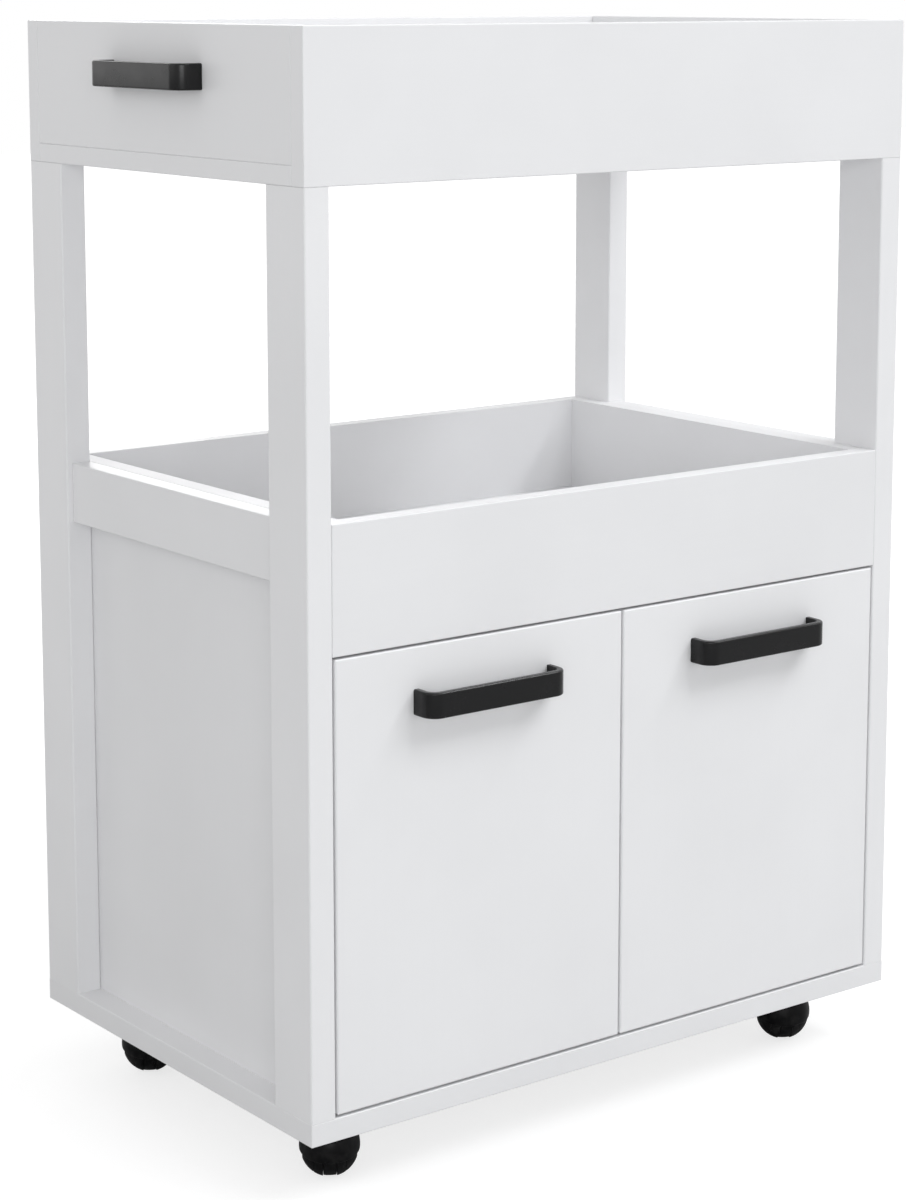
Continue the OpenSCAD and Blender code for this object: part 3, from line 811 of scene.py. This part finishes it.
@dataclass
class Pull:
    """A pull bent from flat bar. X runs along it, Y into the board, and the board's face is at Y = 0."""

    length: float
    reach: float
    height: float
    bar: float = 5 * MM
    bend: float = 12 * MM
    outer_round: float = 1.5 * MM
    inner_round: float = 0.4 * MM
    boss_radius: float = 4.5 * MM
    boss_inset: float = 6.5 * MM
    bend_steps: int = 24
    boss_steps: int = 32

    def section(self) -> np.ndarray:
        """The bar's outline: a rectangle with large arcs on its outer corners and small ones inside.

        Returns:
            A K by 2 array, out from the bar's outer face and up.
        """
        top, r, q = self.height / 2, self.outer_round, self.inner_round
        return np.concatenate([
            arc((-r, top - r), r, 0, 90, count=9),
            arc((-self.bar + q, top - q), q, 90, 180, count=4),
            arc((-self.bar + q, -top + q), q, 180, 270, count=4),
            arc((-r, -top + r), r, 270, 360, count=9),
        ])

    def bar_surface(self) -> Surface:
        """Sweeps the section down one leg, round a bend, along the bar and back up the other leg.

        Returns:
            The bent bar.
        """
        half, r = self.length / 2, self.bend
        turn = np.radians(np.linspace(180, 270, self.bend_steps))
        left = np.stack([np.cos(turn), np.sin(turn), 0 * turn], axis=-1)
        right = left[::-1] * np.array([-1.0, 1.0, 1.0])
        corner = np.array([-half + r, -self.reach + r, 0.0])
        other = corner * np.array([-1.0, 1.0, 1.0])
        origins = np.concatenate([
            [[-half, 0.0, 0.0]], corner + r * left, other + r * right, [[half, 0.0, 0.0]],
        ])
        normals = np.concatenate([[[-1.0, 0.0, 0.0]], left, right, [[1.0, 0.0, 0.0]]])
        return swept(self.section(), origins, normals)

    def boss_surface(self, side: int) -> Surface:
        """A screw boss behind a leg, which ends within the bend.

        Args:
            side: -1 for the left boss, 1 for the right one.

        Returns:
            The boss.
        """
        deep, r, c = self.reach - self.bend / 2, self.boss_radius, self.inner_round
        profile = np.array([[0.0, 0.0], [r - c, 0.0], [r, c], [r, deep - c], [r - c, deep], [0.0, deep]])
        foot = (side * (self.length / 2 - self.boss_inset), 0.0, 0.0)
        along = Placement(foot, X_AXIS, Z_AXIS, (0.0, -1.0, 0.0))
        return outward(turned(profile, self.boss_steps).moved(along))

    def surface(self) -> Surface:
        """The whole pull."""
        return joined([self.bar_surface(), self.boss_surface(-1), self.boss_surface(1)])


@dataclass
class Pulls:
    """The two door pulls and the push handle."""

    def fit(self) -> None:
        """Makes each pull at the size and place of its solid."""
        for side in ("left", "right"):
            low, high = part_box(f"{side}_door_pull")
            pull = Pull(high.x - low.x, high.y - low.y, high.z - low.z)
            at = Placement(((low.x + high.x) / 2, high.y, (low.z + high.z) / 2))
            bar = pull.surface().moved(at)
            piece = make_piece(f"{side}_pull_bar", bar, BLACK_PULL, f"{side}_door_leaf")
            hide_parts(f"{side}_door_pull")
        low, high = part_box("push_handle")
        pull = Pull(high.y - low.y, high.x - low.x, high.z - low.z)
        middle = (high.x, (low.y + high.y) / 2, (low.z + high.z) / 2)
        bar = pull.surface().moved(Placement(middle, (0.0, -1.0, 0.0), X_AXIS))
        piece = make_piece("push_handle_bar", bar, BLACK_PULL, "cart")
        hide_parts("push_handle")


# ---------------------------------------------------------------- casters


@dataclass
class Caster:
    """A hooded twin-wheel caster.

    Its own X runs along the axle and Y towards the stem, and the axle's middle is
    the origin.
    """

    corner: str
    wheel_radius: float = 22 * MM
    inner_face: float = 5.4 * MM
    hood_gap: float = 0.5 * MM
    hood_rim: float = 0.4 * MM
    hood_lift: float = 2.5 * MM
    hood_wall: float = 1.2 * MM
    boss_rise: float = 1.3 * MM
    slope: float = 12.0
    trail: float = 18.3 * MM
    boss_radius: float = 8 * MM
    web_half: float = 5 * MM
    web_radius: float = 21.45 * MM
    web_crown: float = 0.35 * MM
    socket_drop: float = 1.35 * MM
    axle_radius: float = 2.5 * MM
    play: float = 0.05 * MM
    bore_end: float = 18.4 * MM
    boss_edge: float = 0.6 * MM
    socket_round: float = 1.0 * MM
    tread: float = 7 * MM
    groove: float = 0.6 * MM
    chamfer: float = 0.2 * MM
    hub_radius: float = 8 * MM
    hub_recess: float = 0.5 * MM
    steps: int = 96
    boss_steps: int = 48
    socket_steps: int = 40

    def place(self) -> Placement:
        """Finds the caster's axes from its swivel joint and the joint of its first wheel.

        Returns:
            The axle's middle with the caster's own axes.
        """
        joints = {j["name"]: j for j in frame["joints"]}
        roll = joints[f"{self.corner}_roll_a"]
        stem = Vector(joints[f"{self.corner}_swivel"]["pos_m"])
        centre, x = Vector(roll["pos_m"]), Vector(roll["axis"]).normalized()
        y = Vector((stem.x - centre.x, stem.y - centre.y, 0.0)).normalized()
        return Placement(tuple(centre), tuple(x), tuple(y), Z_AXIS)

    def ball_radius(self) -> float:
        """The radius of the ball that the two wheels make."""
        return math.hypot(self.wheel_radius, self.inner_face)

    def hollow_radius(self) -> float:
        """The radius of the hollow under the hood."""
        return self.ball_radius() + self.hood_gap

    def wheel_profile(self) -> np.ndarray:
        """One wheel's outline, radius against distance along the axle.

        It runs from the blind end of the axle's bore, over the inner face, up the
        ball's arc with a groove beside the tread, and into a dished hub.

        Returns:
            A K by 2 array of radius and distance from the web's middle.
        """
        ball, inner = self.ball_radius(), self.inner_face
        bore, blind = self.axle_radius + self.play, self.bore_end
        edge = self.wheel_radius - self.chamfer
        mark, past = inner + self.tread, inner + self.tread + self.groove
        at_mark = math.degrees(math.acos(mark / ball))
        past_mark = math.degrees(math.acos(past / ball))
        start = math.degrees(math.acos((inner + self.chamfer) / ball))
        hub = math.degrees(math.asin(self.hub_radius / ball))
        tread = arc((0.0, 0.0), ball, start, at_mark, count=14)[:, ::-1]
        side = arc((0.0, 0.0), ball, past_mark, hub, count=20)[:, ::-1]
        hub_x = math.cos(math.radians(hub)) * ball
        dish = [
            (self.hub_radius - self.hub_recess, hub_x - self.hub_recess),
            (self.hub_radius * 0.5, hub_x - self.hub_recess * 0.6),
            (0.0, hub_x - self.hub_recess * 0.5),
        ]
        rows = [(0.0, blind), (bore, blind), (bore, inner + self.chamfer), (bore + self.chamfer, inner)]
        rows += [(self.hub_radius, inner), (edge, inner)]
        floor = tread[-1, 0] * (1 - self.groove / ball)
        sunk = [(floor, mark), (floor, past)]
        return np.concatenate([rows, tread, sunk, side, dish])

    def wheel(self, side: int) -> Surface:
        """Turns one wheel about the axle.

        Args:
            side: -1 for the wheel on the left of the web, 1 for the right one.

        Returns:
            The wheel in the caster's own axes.
        """
        laid = Placement(ORIGIN, Y_AXIS, Z_AXIS, (float(side), 0.0, 0.0))
        return outward(turned(self.wheel_profile(), self.steps).moved(laid))

    def shell(self) -> Surface:
        """The hood: half a hollow ball with a thin rim, tipped back by the slope and cut flat on top.

        Its outside is a ball about a point that is lifted by l, with the radius
        sqrt((hollow + rim)(hollow + rim) + l l), so the wall swells above the rim.

        Returns:
            The hood in the caster's own axes.
        """
        inner, lift, half_rim = self.hollow_radius(), self.hood_lift, self.hood_rim / 2
        outer = math.hypot(inner + self.hood_rim, lift)
        low = math.degrees(math.asin((half_rim - lift) / outer))
        over = arc((0.0, lift), outer, 90, low, count=40)
        lip = arc((inner + half_rim, half_rim), half_rim, 0, -180, count=10)
        under = arc((0.0, 0.0), inner, 0, 90, count=32)
        profile = np.concatenate([over, lip[1:], under[1:]])
        profile[0, 0] = profile[-1, 0] = 0.0
        a = math.radians(self.slope)
        back, up = (0.0, math.cos(a), math.sin(a)), (0.0, -math.sin(a), math.cos(a))
        tipped = Placement(ORIGIN, y=back, z=up)
        ball = turned(profile, self.steps).moved(tipped)
        ball.points[:, 2] = np.minimum(ball.points[:, 2], inner + self.hood_wall)
        return outward(ball)

    def boss(self) -> Surface:
        """The boss over the stem: a round column that grows out of the hood.

        Its lower end follows a ball just over the hollow, z = sqrt(m m - x x - (y + t)(y + t)),
        with t the trail, and the sloping rim outside the ball.

        Returns:
            The boss in the caster's own axes.
        """
        middle = self.hollow_radius() + self.hood_rim / 2
        top = self.hollow_radius() + self.hood_wall + self.boss_rise
        r, edge = self.boss_radius, self.boss_edge
        rings = np.array([0.0, 0.35, 0.7, 1.0])
        lower = np.stack([rings * r, 0 * rings], axis=-1)
        upper = np.array([[r, 0.5], [r, 1.0 - edge / top], [r - edge, 1.0], [0.0, 1.0]])

        def lift(x: np.ndarray, y: np.ndarray, share: np.ndarray) -> np.ndarray:
            """Lifts a share of the way from the hood to the boss's top.

            Args:
                x: the points' X.
                y: their Y, from the stem.
                share: 0 at the hood and 1 at the top.

            Returns:
                Their heights above the axle.
            """
            reach = x * x + (y + self.trail) ** 2
            dome = np.sqrt(np.maximum(middle * middle - reach, 0.0))
            rim = (y + self.trail) * math.tan(math.radians(self.slope))
            foot = np.maximum(dome, rim)
            return foot + share * (top - foot)

        column = turned(np.concatenate([lower, upper]), self.boss_steps, height_of=lift)
        return outward(column.moved(Placement((0.0, self.trail, 0.0))))

    def web(self) -> Surface:
        """The body between the wheels: a disc about the axle that grows into the hood above its rim.

        There its radius is sqrt(m m - x x), with m just over the hollow's radius and x the
        distance from the web's middle. Below, it is the plain radius and a crown times
        1 - (x / half) (x / half).

        Returns:
            The web in the caster's own axes.
        """
        full, just_above = self.hollow_radius() + self.hood_rim / 2, 0.04
        w, r, c = self.web_half, self.web_radius, self.chamfer
        across = np.array([-w, -w + c, -w / 2, 0.0, w / 2, w - c, w])
        radii = np.array([r - c, r, r, r, r, r, r - c]) + self.web_crown * (1 - (across / w) ** 2)

        def grow(radius: np.ndarray, angle: np.ndarray) -> np.ndarray:
            """Stretches the disc above the hood's rim.

            Args:
                radius: the plain radii.
                angle: the angles about the axle, from Y.

            Returns:
                The radii of the web.
            """
            above = np.sin(angle - math.radians(self.slope)) > just_above
            return np.where(above, np.sqrt(full * full - across[:, None] ** 2), radius)

        inside = np.stack([radii, across], axis=-1)
        profile = np.concatenate([[[0.0, -w]], inside, [[0.0, w]]])
        laid = Placement(ORIGIN, Y_AXIS, Z_AXIS, X_AXIS)
        return outward(turned(profile, self.steps, radius_of=grow).moved(laid))

    def socket(self) -> Surface:
        """The column inside the web that holds the stem, with a rounded foot.

        Returns:
            The column in the caster's own axes.
        """
        r, c = self.web_half - self.play, self.socket_round
        foot = -self.socket_drop
        low = arc((r - c, foot + c), c, -90, 0, count=6)
        profile = np.concatenate([[[0.0, foot]], low, [[r, self.boss_radius], [0.0, self.boss_radius]]])
        return turned(profile, self.socket_steps).moved(Placement((0.0, self.trail, 0.0)))

    def build(self) -> None:
        """Makes the caster's hood and wheels in place of their solids."""
        at = self.place()
        body = f"{self.corner}_caster"
        hood = joined([self.shell(), self.boss(), self.web(), self.socket()]).moved(at)
        piece = make_piece(f"{self.corner}_moulded_hood", hood, BLACK_HOOD, body)
        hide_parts(f"{self.corner}_hood")
        for half, side in (("a", -1), ("b", 1)):
            name = f"{self.corner}_wheel_{half}"
            wheel = self.wheel(side).moved(at)
            piece = make_piece(f"{self.corner}_tread_{half}", wheel, BLACK_WHEEL, name)
            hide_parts(name)


# ---------------------------------------------------------------- setting


PLAIN_LIGHT = (1.0, 1.0, 1.0)
COOL_LIGHT = (0.972, 0.986, 1.0)


@dataclass(frozen=True)
class Lamp:
    """A soft box that faces a point of the cart, with its height laid along a direction."""

    name: str
    place: tuple[float, float, float]
    aim: tuple[float, float, float]
    width: float
    height: float
    watts: float
    along: tuple[float, float, float] = Z_AXIS
    tint: tuple[float, float, float] = PLAIN_LIGHT

    def build(self) -> None:
        """Makes the lamp."""
        data = bpy.data.lights.new(self.name, "AREA")
        data.shape = "RECTANGLE"
        data.size, data.size_y = self.width, self.height
        data.energy = self.watts
        data.color = self.tint
        lamp = bpy.data.objects.new(self.name, data)
        bpy.context.scene.collection.objects.link(lamp)
        lamp.location = self.place
        lamp.rotation_mode = "QUATERNION"
        z = (Vector(self.place) - Vector(self.aim)).normalized()
        x = Vector(self.along).cross(z).normalized()
        lamp.rotation_quaternion = Matrix((x, z.cross(x), z)).transposed().to_quaternion()


@dataclass(frozen=True)
class Camera:
    """The photograph's camera: its place, its turn to the right, and how far it looks down."""

    place: tuple[float, float, float] = (-1.4079, -1.8512, 0.9069)
    heading: float = 37.15
    pitch: float = 8.72
    focal_px: float = 2825.0
    picture_px: float = 1200.0
    sensor_mm: float = 36.0
    shift_x: float = -0.0075
    shift_y: float = -0.15

    def build(self) -> None:
        """Makes the camera and gives it to the scene."""
        data = bpy.data.cameras.new("camera")
        data.sensor_width = self.sensor_mm
        data.lens = self.focal_px / self.picture_px * self.sensor_mm
        data.shift_x, data.shift_y = self.shift_x, self.shift_y
        data.clip_start, data.clip_end = 0.05, 60.0
        camera = bpy.data.objects.new("camera", data)
        bpy.context.scene.collection.objects.link(camera)
        camera.location = self.place
        camera.rotation_euler = (math.radians(90 - self.pitch), 0.0, math.radians(-self.heading))
        bpy.context.scene.camera = camera


@dataclass
class Studio:
    """A pale floor under a white sky, seven soft boxes and the camera."""

    floor_size: float = 24.0
    sky: float = 0.53
    paper: float = 0.54
    glow: float = 0.74
    glow_from: float = 0.7
    glow_to: float = 1.5
    shadow_share: float = 0.36
    lamps: tuple[Lamp, ...] = (
        Lamp("key_box", (1.55, -3.84, 5.75), (0.0, 0.0, 0.45), 2.4, 2.4, 101.0, tint=COOL_LIGHT),
        Lamp(
            "strip_box", (3.36, -2.39, 4.58), (0.0, -0.2, 0.45), 0.85, 4.0, 109.0,
            along=(0.0, 0.884, 0.468), tint=COOL_LIGHT,
        ),
        Lamp("low_box", (-2.4, -3.4, 1.35), (0.0, 0.0, 0.4), 2.0, 1.2, 31.0, tint=COOL_LIGHT),
        Lamp("left_box", (-3.3, 0.6, 2.0), (0.0, 0.0, 0.5), 1.8, 2.2, 9.0),
        Lamp("rear_left_box", (-2.3, 3.0, 0.9), (-0.2, 0.0, 0.5), 1.4, 1.6, 5.0),
        Lamp("right_box", (3.4, 0.3, 1.7), (0.0, 0.0, 0.5), 1.8, 2.0, 14.0),
        Lamp("back_box", (0.9, 3.4, 1.9), (0.0, 0.0, 0.5), 2.0, 2.0, 42.0),
    )

    def build_sky(self) -> None:
        """Makes a world that lights softly and shows as white to the camera, in gloss and through glass."""
        world = bpy.data.worlds.new("sky")
        bpy.context.scene.world = world
        world.use_nodes = True
        g = Graph(world.node_tree)
        path = g.add("ShaderNodeLightPath").outputs
        either = g.math("MAXIMUM", path["Is Camera Ray"], path["Is Glossy Ray"])
        seen = g.math("MAXIMUM", either, path["Is Transmission Ray"])
        strength = g.span(seen, 0.0, 1.0, self.sky, 1.0)
        g.feed(world.node_tree.nodes["Background"], {"Color": (1.0, 1.0, 1.0, 1.0), "Strength": strength})

    def build_floor(self) -> None:
        """Makes the floor, white paper that keeps a light shadow near the cart.

        To the camera its glow grows from the cart outwards up to plain white, so no
        line shows where the floor ends.
        """
        half = self.floor_size / 2
        corners = [(-half, -half, 0), (half, -half, 0), (half, half, 0), (-half, half, 0)]
        mesh = bpy.data.meshes.new("floor")
        mesh.from_pydata(corners, [], [(0, 1, 2, 3)])
        floor = bpy.data.objects.new("floor", mesh)
        bpy.context.scene.collection.objects.link(floor)
        paper = bpy.data.materials.new("floor_paper")
        paper.use_nodes = True
        g = Graph(paper.node_tree)
        shader = paper.node_tree.nodes["Principled BSDF"]
        g.feed(shader, {
            "Base Color": (self.paper, self.paper, self.paper, 1.0),
            "Roughness": 0.9,
            "Specular IOR Level": 0.1,
        })
        where = g.add("ShaderNodeTexCoord").outputs["Object"]
        away = g.add("ShaderNodeVectorMath", {0: where}, operation="LENGTH").outputs["Value"]
        strength = g.span(away, self.glow_from, self.glow_to, self.glow, 1.0)
        glow = g.add("ShaderNodeEmission", {"Strength": strength})
        grey = (self.shadow_share, self.shadow_share, self.shadow_share, 1.0)
        faint = g.add("ShaderNodeBsdfDiffuse", {"Color": grey})
        white = g.add("ShaderNodeAddShader", {0: glow.outputs[0], 1: faint.outputs[0]})
        path = g.add("ShaderNodeLightPath").outputs
        shown = g.math("MAXIMUM", path["Is Camera Ray"], path["Is Transmission Ray"])
        mix = g.add("ShaderNodeMixShader", {0: shown, 1: shader.outputs[0], 2: white.outputs[0]})
        g.feed(paper.node_tree.nodes["Material Output"], {"Surface": mix.outputs[0]})
        mesh.materials.append(paper)

    def build(self) -> None:
        """Makes the whole setting."""
        self.build_sky()
        self.build_floor()
        for lamp in self.lamps:
            lamp.build()
        Camera().build()
        bpy.context.scene.view_settings.view_transform = "Standard"
        LOG.info("studio: %d lamps", len(self.lamps))


# ---------------------------------------------------------------- the whole


def main() -> None:
    """Dresses the cart and sets it in the studio."""
    logging.basicConfig(level=logging.INFO, format="%(name)s: %(message)s")
    Studio().build()
    Carcass().dress()
    Hardware().dress()
    Pulls().fit()
    for corner in ("front_left", "front_right", "rear_left", "rear_right"):
        Caster(corner).build()


if __name__ == "__main__":
    main()
